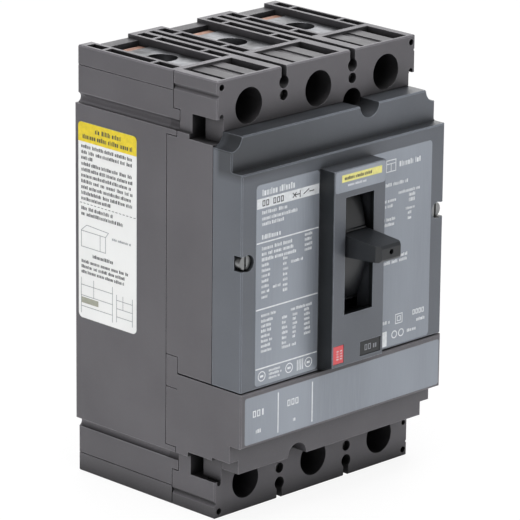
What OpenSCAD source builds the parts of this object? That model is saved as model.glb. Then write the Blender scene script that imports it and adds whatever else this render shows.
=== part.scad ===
// Three-pole molded case breaker with a plug-in trip unit and box lugs.
// Frame: X across the poles, Y into the mounting surface, Z up. The origin is the middle of the
// flat mounting face. A depth is measured from that face towards the operator, along -Y.

/* [Case] */
// Width across the middle of the case
body_w = 104; // [103.8:0.1:104.6]
// Height from the line end to the load end
body_h = 163; // [162:0.5:166]
// Width of the case at its two terminal ends
end_w = 101; // [100.8:0.1:101.4]
// Distance between the middles of neighbouring poles
pitch = 35; // [34.9:0.05:35.05]

/* [Toggle] */
// Depth of the tip of the toggle lever
lever_tip_d = 109.5; // [102:0.5:114]
// Half the width of the toggle lever
lever_half_w = 6.7; // [5:0.1:6.9]
// Height of the lever at its tip
lever_tip_h = 6; // [4:0.5:7]

/* [Terminals] */
// Radius of the holes that let a driver reach the lug screws
driver_hole_r = 6.65; // [5.5:0.05:7]
// Radius of the wire hole through each lug
wire_r = 5.75; // [4.5:0.25:6]
// Radius of the two mounting screw holes
mounting_r = 2.8; // [2.2:0.1:3.2]

/* [Plates] */
// Thickness of the name plates
plate_t = 0.4; // [0.3:0.05:0.5]
// Height of the rating label on the trip unit
trip_label_h = 17.6; // [14:0.1:17.8]

/* [Hidden] */
$fn = 64;

// Depths of the main faces
base_d = 47.8;
end_seam_d = 49.7;
cover_seam_d = 71.4;
end_d = 72;
ledge_d = 81;
fascia_d = 86.3;
trip_d = 86.6;
collar_d = 93.65;
wall = 2;
floor_d = 3;
tongue_d = 53;

// Heights of the main edges
end_z = body_h / 2;
shoulder_z = 60.3;
seam_z = -29.7;
trip_top_z = -30.3;
fascia_top_z = 50.6;
band_top_z = 62.8;
trip_step_z = -50.75;
ledge_mid_z = -57.4;
ledge_bottom_z = -62.6;
chamber_z = 56.5;
pocket_z = 59.5;
notch_low_z = 58.5;
notch_high_z = 67.5;
driver_z = 70.2;
keyhole_z = 75.65;
case_screw_z = 70.9;
trip_screw_z = -69.85;
mount_z = 62.5;
mount_tunnel_r = 4.7;
case_head_d = 69.6;
panel_depth = 0.9;
seam_w = 0.35;
edge = 0.45;

// Widths
half_w = body_w / 2;
half_end = end_w / 2;
notch_x = 47.2;
chamber_x = 15.9;
outer_x0 = 19.1;
outer_x1 = 49.2;
groove_x = pitch / 2;
collar_x = 13.2;

// Name plate outlines: left, right, bottom, top
left_plate = [-44.9, -13.4, -28.9, 45.5];
right_plate = [13.4, 45.3, -29.2, 45.5];
badge = [-12.6, 12.9, 37.7, 45.5];
side_label_box = [1.6, 32.5, -20.6, 53.8];
trip_label = [-50, 51, -49.8, -49.8 + trip_label_h];

// Cover screws
cover_screw = [49, 18];
cover_head_r = 2.7;
screw_gap = 0.05;

// Toggle: pivot, swept shield and opening, as [depth, height]
pivot = [46.3, 15];
lever_z = 17;
shield_r = 45;
shield_t = 2;
shield_x = 6;
shield_low = -27.6;
shield_high = 30;
opening = [7.3, -8.45, 35.4];

// Rotor and contacts
rotor = [23.5, 0];
barrel_r = 9;
journal_r = 7.97;
bridge_x = 4;
rest_open = 14.4;
crank_r = 14;
crank_angle = 98;
crank = [rotor[0] + crank_r * cos(crank_angle), crank_r * sin(crank_angle)];

// Linkage, at rest in the tripped position
upper_pivot = [60, 24];
upper_len = 22;
upper_angle = -129.85;
knee = [upper_pivot[0] + upper_len * cos(upper_angle), upper_pivot[1] + upper_len * sin(upper_angle)];
cradle_pivot = [50, 40];
cradle_swing = 8;
anchor = [73.4, 15];
latch_pivot = [70, -16];
pin_r = 1.5;
pin_gap = 0.05;

// Lanes across the mechanism, as [inner, outer] distance from the middle
frame_x = [14.3, 15.8];
yoke_x = [12, 13.6];
lower_link_x = [9.8, 11.2];
upper_link_x = [8, 9.4];
spring_x = 5;

// Conductors
bar_x = 6;
line_bar_d = [9.5, 12.5];
load_bar_d = [34.5, 37.5];
tip_z = [12.6, 19.6];
tip_t = 1.5;

// Trip parts, as [depth, height]
trip_axis = [78, -38];
armature_axis = [72.5, -40];
button_x = [-12.5, -7.3];
button_z = [-26.3, -19.6];
stem = [-10.25, -24];

// Lugs
lug_x = 8;
lug_d = [12.5, 42];
lug_z = [62.3, 79.1];
wire_d = 27.5;
thread_r = 4.5;

plastic = "#606064";
cover_plastic = "#5b5f66";
plate_grey = "#8f949c";
black_plastic = "#2e3033";
zinc = "#a9abad";
steel = "#8b8e91";
copper = "#b8744a";
silver = "#d5d6d8";
alloy = "#c4c6c8";
fibre = "#8a6b4c";

// ---------- helpers ----------

// A block from x0 to x1, from depth d0 to d1 and from z0 to z1
module block(x0, x1, d0, d1, z0, z1) {
    translate([x0, -d1, z0]) cube([x1 - x0, d1 - d0, z1 - z0]);
}

// Round bars along each axis
module bar_along_y(x, z, d0, d1, r) {
    translate([x, -d0, z]) rotate([90, 0, 0]) cylinder(r = r, h = d1 - d0);
}
module bar_along_x(p, x0, x1, r) {
    translate([x0, -p[0], p[1]]) rotate([0, 90, 0]) cylinder(r = r, h = x1 - x0);
}
module bar_along_z(x, d, z0, z1, r) {
    translate([x, -d, z0]) cylinder(r = r, h = z1 - z0);
}

// Extrudes an outline drawn in depth and height from x0 to x1
module side_shape(x0, x1) {
    translate([x1, 0, 0]) rotate([90, 0, -90]) linear_extrude(height = x1 - x0) children();
}

// Extrudes an outline drawn in X and Z from depth d0 to d1
module front_shape(d0, d1) {
    translate([0, -d0, 0]) rotate([90, 0, 0]) linear_extrude(height = d1 - d0) children();
}

module both_sides() {
    children();
    mirror([1, 0, 0]) children();
}
module both_ends() {
    children();
    mirror([0, 0, 1]) children();
}
module each_pole() {
    for (i = [-1:1]) translate([i * pitch, 0, 0]) children();
}

// Bars with a square section that cut a chamfer into an edge along each axis
module chamfer_x(d, z, leg) {
    translate([0, -d, z]) rotate([45, 0, 0]) cube([body_w + 2, leg * sqrt(2), leg * sqrt(2)], center = true);
}
module chamfer_y(x, z, d0, d1, leg) {
    translate([x, -(d0 + d1) / 2, z]) rotate([0, 45, 0])
        cube([leg * sqrt(2), d1 - d0, leg * sqrt(2)], center = true);
}
module chamfer_z(x, d, z0, z1, leg) {
    translate([x, -d, (z0 + z1) / 2]) rotate([0, 0, 45])
        cube([leg * sqrt(2), leg * sqrt(2), z1 - z0], center = true);
}

// Turns its children about an X axis through p; a positive angle lifts what lies in front
module turn_about(p, angle) {
    translate([0, -p[0], p[1]]) rotate([-angle, 0, 0]) translate([0, p[0], -p[1]]) children();
}

// A rectangle with round corners, given as [left, right, bottom, top]
module round_rect(box, r) {
    translate([box[0] + r, box[2]]) square([box[1] - box[0] - 2 * r, box[3] - box[2]]);
    translate([box[0], box[2] + r]) square([box[1] - box[0], box[3] - box[2] - 2 * r]);
    for (x = [box[0] + r, box[1] - r], z = [box[2] + r, box[3] - r]) translate([x, z]) circle(r = r);
}

// A flat link between two points with round ends
module link_outline(a, b, r) {
    v = b - a;
    n = [-v[1], v[0]] / norm(v) * r;
    translate(a) circle(r = r);
    translate(b) circle(r = r);
    polygon([a + n, b + n, b - n, a - n]);
}

// A round wire wound along X
module coil(r, wire_r, length, turns) {
    steps = 10;
    sides = 6;
    count = turns * steps;
    points = [for (i = [0:count]) for (j = [0:sides - 1])
        let (a = 90 + 360 * i / steps, b = 360 * j / sides, rr = r + wire_r * cos(b))
        [length * i / count + wire_r * sin(b), rr * cos(a), rr * sin(a)]];
    rings = [for (i = [0:count - 1]) for (j = [0:sides - 1])
        [i * sides + j, i * sides + (j + 1) % sides, (i + 1) * sides + (j + 1) % sides,
            (i + 1) * sides + j]];
    first = [[for (j = [sides - 1:-1:0]) j]];
    last = [[for (j = [0:sides - 1]) count * sides + j]];
    polyhedron(points = points, faces = concat(rings, first, last), convexity = 8);
}

// ---------- molded case ----------

// What the two terminal ends share, drawn for the line end
module end_grooves(d0, d1) {
    both_sides() {
        front_shape(d0, d1) polygon([[half_end + 1, 78.4], [half_end - 0.9, 75.9], [half_end + 1, 73.4]]);
    }
}

// Screw and driver holes in the front wall of one terminal end, drawn for the line end
module end_holes(screw_z) {
    each_pole() {
        bar_along_y(0, driver_z, base_d - 1, end_d + 1, driver_hole_r);
        both_sides() block(7.6, 12, 50.8, 69.8, 69, end_z + 1);
        block(-12, 12, 50.8, 70.6, end_z - panel_depth, end_z + 1);
        block(-2, 2, 50.8, 69.8, end_z - panel_depth - 0.5, end_z);
    }
    both_sides() {
        bar_along_y(groove_x, keyhole_z, end_seam_d - 1, end_d + 1, 2.4);
        block(groove_x - 1.33, groove_x + 1.33, end_seam_d - 1, end_d + 1, keyhole_z, end_z + 1);
        bar_along_y(groove_x, screw_z, case_head_d - 2.5, end_d + 1, 2);
        bar_along_y(groove_x, screw_z, end_seam_d - 1, case_head_d - 2, 1.1 + screw_gap);
        bar_along_y(48.3, 78.95, 66, end_d + 1, 1.2);
        bar_along_y(48.3, 68.2, 66, end_d + 1, 1);
        block(notch_x, half_w + 1, 59.5, end_d + 1, notch_low_z, notch_high_z);
        block(43, half_w + 1, 59.5, 62.8, notch_low_z, notch_high_z - 0.1);
    }
    end_grooves(end_seam_d - 1, end_d + 1);
    chamfer_x(end_d, end_z, edge);
    both_sides() {
        chamfer_y(half_end, end_z, end_seam_d - 1, end_d + 1, edge);
        chamfer_z(half_end, end_d, notch_high_z, end_z + 1, edge);
    }
}

// The seam between the rear case and what stands on it, drawn for the line end and down to z0
module seam_grooves(z0) {
    both_sides() {
        block(half_w - 0.7, half_w + 1, base_d - 1, base_d + seam_w, z0, notch_low_z);
        block(half_end - 0.7, half_end + 1, end_seam_d - 1, end_seam_d + seam_w, notch_high_z, end_z + 1);
    }
}

// The tongue of the rear case that the front parts fit over at each side
module side_tongues(x1, gap = 0) {
    both_sides() block(notch_x, x1, base_d - 1, tongue_d + gap, notch_low_z - 0.1 - gap,
        notch_high_z + 0.1 + gap);
}

// Pockets of the rear case at the line end
module terminal_pockets() {
    each_pole() {
        block(-9, 9, 5.6, 48, pocket_z, end_z + 1);
        block(-9, 9, -1, 6, end_z - 1.5, end_z + 1);
        bar_along_y(0, driver_z, base_d - 1, end_seam_d + 1, driver_hole_r);
        both_sides() for (d = [[3, 11], [12.5, 36], [37.5, 47.8]]) {
            block(10.4, 14.2, d[0], d[1], 69, end_z + 1);
        }
        block(-bar_x - 0.1, bar_x + 0.1, line_bar_d[0] - 0.1, line_bar_d[1] + 0.1, chamber_z - 2,
            pocket_z + 1);
    }
    both_sides() {
        block(groove_x - 1.4, groove_x + 1.4, floor_d, end_seam_d + 1, 74, end_z + 1);
        bar_along_y(groove_x, keyhole_z, 40, end_seam_d + 1, 2.4);
    }
}

// Rails beside the terminals where the case narrows
module side_rails(d1) {
    both_sides() {
        front_shape(-1, d1) translate([half_end + 0.7, 62.15]) circle(r = 1.85);
    }
}

module base_case() {
    color(plastic) difference() {
        union() {
            difference() {
                union() {
                    block(-half_w, half_w, 0, base_d, -shoulder_z, shoulder_z);
                    both_ends() {
                        block(-half_end, half_end, 0, base_d, shoulder_z - 1, end_z);
                        block(-half_end, half_end, base_d - 1, end_seam_d, shoulder_z, end_z);
                    }
                    both_ends() intersection() {
                        side_tongues(half_w);
                        union() {
                            block(-half_w, half_w, 0, 60, 50, shoulder_z);
                            block(-half_end, half_end, 0, 60, 50, end_z);
                        }
                    }
                }
                block(-chamber_x, chamber_x, floor_d, base_d + 1, -chamber_z, chamber_z);
                both_sides() block(outer_x0, outer_x1, floor_d, base_d + 1, -chamber_z, chamber_z);
                both_ends() terminal_pockets();
            }
            base_supports();
        }
        base_bores();
    }
}

// Shelves and bosses inside the rear case
module base_supports() {
    each_pole() {
        block(-bar_x, bar_x, floor_d - 1, line_bar_d[0], 26, 34);
        block(-bar_x, bar_x, floor_d - 1, line_bar_d[0], 48, 57);
        both_ends() block(-bar_x, bar_x, 5, line_bar_d[0], 60, 74);
        block(-bar_x, bar_x, line_bar_d[1] + 0.5, 40, -57, -55);
    }
    both_sides() {
        block(45.2, 50, floor_d - 1, base_d, 14.2, 21.8);
        block(12.4, 16.5, floor_d - 1, 40, -22, -16);
        block(12.4, 16.5, floor_d - 1, 40, 36, 44);
    }
}

// Everything bored or cut through the rear case last
module base_bores() {
    both_ends() side_rails(tongue_d + 1);
    both_ends() both_sides() {
        block(half_end - 0.3, half_end + 1, -1, end_seam_d + 1, 74.1, 74.4);
        chamfer_y(half_end, end_z, -1, end_seam_d + 1, edge);
    }
    both_sides() {
        bar_along_y(cover_screw[0], cover_screw[1], 30, base_d + 1, 1.6 + screw_gap);
        bar_along_y(groove_x, case_screw_z, 36, end_seam_d + 1, 1.1 + screw_gap);
        bar_along_y(groove_x, trip_screw_z, 36, end_seam_d + 1, 1.1 + screw_gap);
        bar_along_x(rotor, 15, 20, 8.03);
        block(15, 20, rotor[0], base_d + 1, -8.03, 8.03);
    }
    for (s = [-1, 1]) {
        bar_along_y(s * groove_x, s * mount_z, -1, 13, mounting_r);
        bar_along_y(s * groove_x, s * mount_z, 12, end_seam_d + 1, mount_tunnel_r);
    }
    side_shape(-half_w - 1, -half_w + 0.2) round_rect(side_label_box, 2);
    both_ends() each_pole() block(-12, 12, -1, 0.8, 8, 48);
}

module mid_case() {
    color(plastic) difference() {
        union() {
            difference() {
                union() {
                    block(-half_w, half_w, base_d, cover_seam_d, seam_z, shoulder_z);
                    block(-half_end, half_end, end_seam_d, cover_seam_d, shoulder_z - 1, end_z);
                    block(-half_end, half_end, cover_seam_d - 1, end_d, band_top_z + 0.1, end_z);
                }
                block(-chamber_x, chamber_x, base_d - 1, 69.4, seam_z + wall, chamber_z);
                both_sides() block(outer_x0, outer_x1, base_d - 1, 69.4, seam_z + wall, chamber_z);
                block(-chamber_x, chamber_x, 68, cover_seam_d + 1, seam_z + wall, 44);
            }
            both_sides() block(45.2, 50, base_d, 70, 14.2, 21.8);
        }
        block(-half_w - 1, half_w + 1, base_d - 1, end_seam_d, shoulder_z, end_z + 1);
        side_tongues(half_w + 1, seam_w);
        seam_grooves(seam_z - 1);
        end_holes(case_screw_z);
        bar_along_y(groove_x, mount_z, base_d - 1, end_d + 1, mount_tunnel_r);
        both_sides() {
            bar_along_y(cover_screw[0], cover_screw[1], base_d - 1, cover_seam_d + 1, 1.6 + screw_gap);
            block(48.5, half_w + 1, base_d - 1, 53.9 + seam_w, seam_z - 1, -24 + seam_w);
        }
        block(-2.8, 2.8, 69.8, cover_seam_d + 1, seam_z - 1, seam_z + wall + 1);
    }
}

// ---------- front cover ----------

// Outline of the band above the fascia
module band_outline() {
    difference() {
        translate([-half_w, fascia_top_z - 1]) square([body_w, band_top_z - fascia_top_z + 1]);
        for (s = [-1, 1]) translate([s * half_w, band_top_z + 0.1]) circle(r = 4.95);
        translate([groove_x, band_top_z + 0.2]) circle(r = 5);
    }
}

module front_cover() {
    color(cover_plastic) difference() {
        union() {
            difference() {
                union() {
                    block(-half_w, half_w, cover_seam_d, fascia_d, seam_z, fascia_top_z);
                    front_shape(cover_seam_d, ledge_d) band_outline();
                }
                block(-half_w + wall, half_w - wall, cover_seam_d - 1, fascia_d - wall,
                    seam_z + wall, fascia_top_z - wall);
                block(-43, 11, cover_seam_d - 1, ledge_d - wall, 52.6, 60.8);
                block(24, 43, cover_seam_d - 1, ledge_d - wall, 52.6, 60.8);
            }
            side_shape(-collar_x, collar_x) polygon([[fascia_d - wall, -29.6], [fascia_d, -29.6],
                [collar_d, -27.5], [collar_d, 45.8], [fascia_d - wall, 45.8]]);
            both_sides() block(44.8, 50.5, cover_seam_d, fascia_d - 1, 13.2, 22.8);
        }
        collar_cuts();
        plate_recesses();
        both_sides() {
            bar_along_y(cover_screw[0], cover_screw[1], 82.5, fascia_d + 1, 3.1);
            block(cover_screw[0], half_w + 1, 82.5, fascia_d + 1, 15.2, 20.8);
            bar_along_y(cover_screw[0], cover_screw[1], cover_seam_d - 1, 83, 1.6 + screw_gap);
        }
        block(-12.2, -8.3, 70, 82.6, seam_z - 1, seam_z + wall + 1);
        block(-2.8, 2.8, 70, 79, seam_z - 1, seam_z + wall + 1);
        cover_edges();
    }
}

// Chamfers along the front of the cover and the groove of its side seam
module cover_edges() {
    chamfer_x(fascia_d, fascia_top_z, edge);
    chamfer_x(ledge_d, band_top_z, edge);
    chamfer_x(collar_d, 45.8, edge / 2);
    both_sides() {
        chamfer_z(half_w, fascia_d, seam_z - 1, fascia_top_z + 1, edge);
        chamfer_z(half_w, ledge_d, fascia_top_z + 0.3, band_top_z, edge);
        chamfer_z(collar_x, collar_d, -27.6, 46, edge / 2);
        block(half_w - 0.6, half_w + 1, cover_seam_d - 1, cover_seam_d + seam_w, seam_z - 1, 58);
    }
}

// The toggle opening and the trip button pocket in the collar
module collar_cuts() {
    block(-9, 9, fascia_d - wall - 1, collar_d - wall, -10.5, 40.3);
    block(-opening[0], opening[0], collar_d - wall - 1, collar_d + 1, opening[1], opening[2]);
    block(-12.6, -7.1, 87, collar_d + 1, -26.45, -19.45);
    block(-11.6, -8.9, fascia_d - wall - 1, 88, -25.6, -22.4);
}

module plate_recesses() {
    front_shape(fascia_d - plate_t, fascia_d + 1) round_rect(left_plate, 1.5);
    front_shape(fascia_d - plate_t, fascia_d + 1) round_rect(right_plate, 1.5);
    front_shape(collar_d - plate_t, collar_d + 1) round_rect(badge, 1);
    block(1.2, 12, collar_d - 0.55, collar_d + 1, -26, -20.5);
}

module left_nameplate() {
    color(plate_grey) front_shape(fascia_d - plate_t, fascia_d + 0.05) round_rect(left_plate, 1.5);
}
module right_nameplate() {
    color(plate_grey) front_shape(fascia_d - plate_t, fascia_d + 0.05) round_rect(right_plate, 1.5);
}
module badge_plate() {
    color("#a3a6ac") front_shape(collar_d - plate_t, collar_d + 0.05) round_rect(badge, 1);
}
module rating_insert() {
    color(plate_grey) block(1.3, 11.9, collar_d - 0.55, collar_d - 0.2, -25.9, -20.6);
}
module side_label() {
    color("#f2f2ee") side_shape(-half_w - 0.1, -half_w + 0.2) round_rect(side_label_box, 2);
}

// ---------- trip unit ----------

module trip_unit_housing() {
    color(plastic) difference() {
        union() {
            difference() {
                union() {
                    block(-half_w, half_w, base_d, trip_d, trip_step_z, trip_top_z);
                    block(-half_w, half_w, base_d, ledge_d, ledge_mid_z, trip_step_z + 1);
                    block(-47.5, 47.5, base_d, ledge_d, ledge_bottom_z, ledge_mid_z + 1);
                    block(-half_w, half_w, base_d, end_d, -shoulder_z, ledge_mid_z + 1);
                    block(-half_end, half_end, end_seam_d, end_d, -end_z, -shoulder_z + 1);
                }
                trip_chambers(-chamber_x, chamber_x);
                both_sides() trip_chambers(outer_x0, outer_x1);
            }
            both_sides() block(48.6, half_w, base_d, 53.9, trip_top_z - 1, -24);
        }
        block(-half_w - 1, half_w + 1, base_d - 1, end_seam_d, -end_z - 1, -shoulder_z);
        mirror([0, 0, 1]) {
            side_tongues(half_w + 1, seam_w);
            seam_grooves(23);
            end_holes(-trip_screw_z);
        }
        chamfer_x(trip_d, trip_top_z, edge);
        chamfer_x(trip_d, trip_step_z, edge);
        both_sides() chamfer_z(half_w, trip_d, trip_step_z - 1, trip_top_z + 1, edge);
        bar_along_y(-groove_x, -mount_z, base_d - 1, ledge_d + 1, mount_tunnel_r);
        front_shape(trip_d - plate_t, trip_d + 1) round_rect(trip_label, 1);
        bar_along_x(trip_axis, -20, 20, 2.25);
        bar_along_x(armature_axis, -20, 20, 1.2 + pin_gap);
        block(-12.2, -8.3, 73, 82.6, trip_top_z - wall - 1, trip_top_z + 1);
        block(-2.8, 2.8, 70, 79, trip_top_z - wall - 1, trip_top_z + 1);
        both_sides() {
            block(half_w - 0.3, half_w + 1, base_d, 53.9, -36.2, -35.8);
            block(pitch - 9, pitch - 4, end_d - 3, end_d + 1, -67, ledge_bottom_z);
        }
    }
}

module trip_chambers(x0, x1) {
    block(x0, x1, base_d - 1, trip_d - wall, trip_step_z + wall, trip_top_z - wall);
    block(x0, x1, base_d - 1, ledge_d - wall, -chamber_z, trip_step_z + wall + 1);
}

module trip_unit_label() {
    color(plate_grey) front_shape(trip_d - plate_t, trip_d + 0.05) round_rect(trip_label, 1);
}

// A slotted screw along the depth with its head towards the operator
module slotted_screw(x, z, head_r, head_d, head_t, shank_r, end_depth) {
    difference() {
        union() {
            bar_along_y(x, z, head_d - head_t, head_d, head_r);
            bar_along_y(x, z, end_depth, head_d - head_t, shank_r);
        }
        block(x - 0.45, x + 0.45, head_d - head_t / 3, head_d + 1, z - head_r - 1, z + head_r + 1);
    }
}

module cover_screws() {
    color(zinc) both_sides() slotted_screw(cover_screw[0], cover_screw[1], cover_head_r, 85, 2.5, 1.6, 30.5);
}
module case_screws() {
    color(zinc) both_sides() slotted_screw(groove_x, case_screw_z, 1.9, case_head_d, 2.4, 1.1, 36.5);
}
module trip_unit_screws() {
    color(zinc) both_sides() slotted_screw(groove_x, trip_screw_z, 1.9, case_head_d, 2.4, 1.1, 36.5);
}

// ---------- current path ----------

module line_conductors() {
    color(copper) each_pole() difference() {
        block(-bar_x, bar_x, line_bar_d[0], line_bar_d[1], 10.5, lug_z[1]);
        bar_along_y(0, driver_z, line_bar_d[0] - 1, line_bar_d[1] + 1, 2 + screw_gap);
    }
}

module fixed_contact_tips() {
    color(silver) each_pole() {
        block(-3.5, 3.5, line_bar_d[1], line_bar_d[1] + tip_t, tip_z[0], tip_z[1]);
        block(-3.5, 3.5, load_bar_d[0] - tip_t, load_bar_d[0], -tip_z[1], -tip_z[0]);
    }
}

module lower_contact_bars() {
    color(copper) each_pole() difference() {
        union() {
            block(-bar_x, bar_x, load_bar_d[0], load_bar_d[1], -38, -10.5);
            block(-bar_x, bar_x, load_bar_d[0], 56, -38, -35);
        }
        bar_along_z(0, 51, -39, -34, 2 + screw_gap);
    }
}

module heater_bars() {
    color("#9c8f86") each_pole() difference() {
        union() {
            block(-bar_x, bar_x, 45, 64, -41, -38);
            block(-bar_x, bar_x, 61, 64, -52, -38);
            block(-bar_x, bar_x, 45, 64, -52, -49);
        }
        bar_along_z(0, 51, -42, -37, 2 + screw_gap);
        bar_along_z(0, 51, -53, -48, 2 + screw_gap);
    }
}

module load_terminals() {
    color(copper) each_pole() difference() {
        union() {
            block(-bar_x, bar_x, line_bar_d[0], 56, -55, -52);
            block(-bar_x, bar_x, line_bar_d[0], line_bar_d[1], -lug_z[1], -52);
        }
        bar_along_z(0, 51, -56, -51, 2 + screw_gap);
        bar_along_y(0, -driver_z, line_bar_d[0] - 1, line_bar_d[1] + 1, 2 + screw_gap);
    }
}

// A hexagon screw that points down
module hex_screw(d, head_z, length) {
    translate([0, -d, head_z]) cylinder(r = 3.7, h = 2.4, $fn = 6);
    bar_along_z(0, d, head_z - length, head_z, 2);
}

module conductor_screws() {
    color(zinc) each_pole() {
        hex_screw(51, -35, 6.6);
        hex_screw(51, -49, 5.9);
    }
}

// One box lug, drawn for the line end
module lug() {
    difference() {
        block(-lug_x, lug_x, lug_d[0], lug_d[1], lug_z[0], lug_z[1]);
        bar_along_z(0, wire_d, lug_z[0] - 1, lug_z[1] + 1, wire_r);
        bar_along_y(0, driver_z, 30, lug_d[1] + 1, thread_r);
        bar_along_y(0, driver_z, lug_d[0] - 1, 24, 2 + screw_gap);
        bar_along_y(0, driver_z, 18.4, 24, 3.7);
    }
}

module line_lugs() {
    color(alloy) each_pole() lug();
}
module load_lugs() {
    color(alloy) each_pole() mirror([0, 0, 1]) lug();
}
module lug_mounting_screws() {
    color(zinc) each_pole() both_ends() slotted_screw(0, driver_z, 3.6, 20.8, 2.3, 2, line_bar_d[0]);
}

// A wire clamping screw with a hexagon socket
module lug_screw(x, z) {
    color(alloy) difference() {
        bar_along_y(x, z, 34, 44, thread_r - pin_gap);
        translate([x, -45, z]) rotate([-90, 0, 0]) cylinder(r = 2.9, h = 5, $fn = 6);
    }
}
module line_screw_left() { lug_screw(-pitch, driver_z); }
module line_screw_centre() { lug_screw(0, driver_z); }
module line_screw_right() { lug_screw(pitch, driver_z); }
module load_screw_left() { lug_screw(-pitch, -driver_z); }
module load_screw_centre() { lug_screw(0, -driver_z); }
module load_screw_right() { lug_screw(pitch, -driver_z); }

// ---------- arc chutes ----------

module arc_chute_frames() {
    color(fibre) each_pole() both_sides() {
        block(10.4, 11.4, floor_d, 44, 24, 50);
        block(10.4, 11.4, floor_d, 33, -50, -24);
    }
}

// One splitter plate with a throat towards the contacts, standing across the depth d
module splitter_plate(d, z0, z1) {
    throat = (z1 - z0) * 0.3;
    front_shape(d, d + 1.2) polygon([[-10.4, z0], [-3.5, z0], [0, z0 + throat], [3.5, z0],
        [10.4, z0], [10.4, z1], [-10.4, z1]]);
}

module splitter_plates() {
    color(steel) each_pole() {
        for (i = [0:8]) splitter_plate(15 + 3.2 * i, 25, 49);
        for (i = [0:8]) mirror([0, 0, 1]) splitter_plate(5 + 3 * i, 25, 49);
    }
}

// ---------- rotor ----------

// Outline of a contact bridge with the contacts shut, g larger all round
module bridge_outline(g) {
    polygon([[15.5 - g, 19.6 + g], [18.5 + g, 19.6 + g], [18.5 + g, 8.5 + g], [31.5 + g, -6.5 + g],
        [31.5 + g, -19.6 - g], [28.5 - g, -19.6 - g], [28.5 - g, -8.5 - g], [15.5 - g, 6.5 - g]]);
}

module rotor_bar() {
    color(black_plastic) difference() {
        union() {
            bar_along_x(rotor, -46, 46, journal_r);
            bar_along_x(rotor, -15, 15, barrel_r);
            both_sides() bar_along_x(rotor, 20, 46, barrel_r);
            both_sides() side_shape(8.1, 9.5) crank_outline();
        }
        each_pole() turn_about(rotor, -rest_open)
            side_shape(-bridge_x - 0.1, bridge_x + 0.1) bridge_outline(0.1);
        bar_along_x(crank, -20, 20, pin_r + 0.02);
    }
}

module crank_outline() {
    difference() {
        union() {
            link_outline(rotor, crank, 3.4);
            polygon([[17, 6], [30, 6], crank + [3.2, 1], crank + [-3.2, 1]]);
        }
        translate(rotor) circle(r = 5);
    }
}

module contact_bridges() {
    color(copper) each_pole() turn_about(rotor, -rest_open) side_shape(-bridge_x, bridge_x) bridge_outline(0);
}

module bridge_contact_tips() {
    color(silver) each_pole() turn_about(rotor, -rest_open) {
        block(-3.5, 3.5, 14.05, 15.5, tip_z[0], tip_z[1]);
        block(-3.5, 3.5, 31.5, 32.95, -tip_z[1], -tip_z[0]);
    }
}

module crank_pins() {
    color(steel) both_sides() bar_along_x(crank, 7, lower_link_x[1] + 0.3, pin_r);
}

module rotor_bearing_caps() {
    color(black_plastic) both_sides() difference() {
        block(chamber_x, outer_x0, rotor[0], base_d, -8, 8);
        bar_along_x(rotor, 15, 20, 8.03);
    }
}

// ---------- toggle mechanism ----------

module lower_links() {
    color(steel) both_sides() difference() {
        side_shape(lower_link_x[0], lower_link_x[1]) {
            link_outline(crank, knee, 2.75);
            translate(knee) circle(r = 4.4);
        }
        bar_along_x(crank, 0, 20, pin_r + pin_gap);
        bar_along_x(knee, 0, 20, pin_r + 1.15);
    }
}

module upper_links() {
    color(steel) both_sides() difference() {
        side_shape(upper_link_x[0], upper_link_x[1]) link_outline(upper_pivot, knee, 3.2);
        bar_along_x(upper_pivot, 0, 20, pin_r + 0.02);
        bar_along_x(knee, 0, 20, pin_r + 0.02);
    }
}

module knee_pin() {
    color(zinc) bar_along_x(knee, -11.6, 11.6, pin_r);
}
module upper_link_pin() {
    color(zinc) bar_along_x(upper_pivot, -9.4, 9.4, pin_r);
}

// The released lever that carries the upper links; its slot lets it swing back to the latch
module cradle() {
    color(steel) difference() {
        union() {
            bar_along_x(cradle_pivot, -1.5, 1.5, 4.6);
            side_shape(-1.5, 1.5)
                polygon([cradle_pivot + [-4.4, 1.5], cradle_pivot + [2.4, 4.1], [65.5, 28], [65, 20], [63, 2],
                    [59.5, -2], [59.5, -7.2], [62, -7.2], [62, -10], [57.5, -10], [56.5, 4], [54.5, 18]]);
        }
        bar_along_x(cradle_pivot, -5, 5, 2 + pin_gap);
        arc_slot(cradle_pivot, upper_pivot, cradle_swing + 1, pin_r + 0.15);
    }
}

// A slot along X about the centre c, from the point p back through an angle, with half width r
module arc_slot(c, p, angle, r) {
    reach = norm(p - c);
    start = atan2(p[1] - c[1], p[0] - c[0]);
    for (a = [0, angle]) turn_about(c, -a) bar_along_x(p, -5, 5, r);
    translate([0, -c[0], c[1]]) rotate([90, 0, -90]) rotate([0, 0, start - angle])
        rotate_extrude(angle = angle) translate([reach - r, -5]) square([2 * r, 10]);
}

module latch() {
    color(steel) difference() {
        side_shape(-2.5, 2.5) {
            translate(latch_pivot) circle(r = 3);
            polygon([latch_pivot + [-1, 0], latch_pivot + [-1, -8], [70, -26], [72.5, -26],
                latch_pivot + [2.8, -1], [71.3, -3], [66.8, -3], [66.8, -4.7], [69.2, -4.7]]);
        }
        bar_along_x(latch_pivot, -5, 5, pin_r + pin_gap);
    }
}

module side_frames() {
    color(steel) both_sides() difference() {
        side_shape(frame_x[0], frame_x[1]) polygon([[40, -21], [74, -24], [76, -12], [81, -4], [81, 34],
            [70, 43], [40, 43], [40, 37], [44, 34], [44, -14], [40, -17]]);
        bar_along_x(pivot, 10, 20, 2.5);
        bar_along_x(cradle_pivot, 10, 20, 2 + 0.02);
        bar_along_x(latch_pivot, 10, 20, pin_r + 0.02);
        bar_along_x([47, -16], 10, 20, 1.5 + 0.02);
        bar_along_x([72, 37], 10, 20, 1.5 + 0.02);
    }
}

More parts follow.
